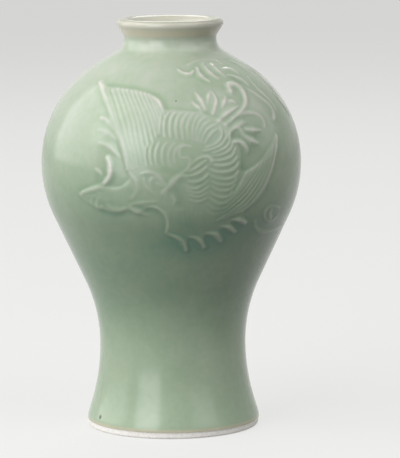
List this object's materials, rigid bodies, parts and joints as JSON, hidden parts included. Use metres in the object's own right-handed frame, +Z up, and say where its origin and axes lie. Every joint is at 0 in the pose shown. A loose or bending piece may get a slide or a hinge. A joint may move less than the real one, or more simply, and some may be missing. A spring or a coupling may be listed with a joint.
{
  "type": "meiping vase",
  "caption": "Tall celadon vase with a narrow waist, full shoulder, short neck and rolled lip, and a bird in low relief.",
  "frame": {"origin": "centre of the foot's standing plane", "axes": "+Z up along the vase's axis, front of the relief facing -Y"},
  "size_m": [0.1584, 0.1612, 0.25],
  "materials": {
    "porcelain": "matt biscuit, warm white",
    "joint_slip": "fired luting slip",
    "celadon_glaze": "glossy pale grey-green celadon glaze"
  },
  "bodies": {
    "root": {"foot_section": "porcelain", "lower_body": "porcelain", "shoulder_section": "porcelain", "neck_section": "porcelain", "waist_joint_slip": "joint_slip", "belly_joint_slip": "joint_slip", "neck_joint_slip": "joint_slip", "outer_glaze": "celadon_glaze", "inner_glaze": "celadon_glaze", "base_glaze": "celadon_glaze", "front_left_wing": "celadon_glaze", "front_neck_feathers": "celadon_glaze", "front_breast_feathers": "celadon_glaze", "front_right_wing": "celadon_glaze", "front_tail_tips": "celadon_glaze", "front_crest_and_claws": "celadon_glaze", "front_head_and_curls": "celadon_glaze", "front_cloud": "celadon_glaze", "front_shoulder_plume": "celadon_glaze", "back_left_wing": "celadon_glaze", "back_neck_feathers": "celadon_glaze", "back_breast_feathers": "celadon_glaze", "back_right_wing": "celadon_glaze", "back_tail_tips": "celadon_glaze", "back_crest_and_claws": "celadon_glaze", "back_head_and_curls": "celadon_glaze", "back_cloud": "celadon_glaze", "back_shoulder_plume": "celadon_glaze"}
  },
  "joints": []
}
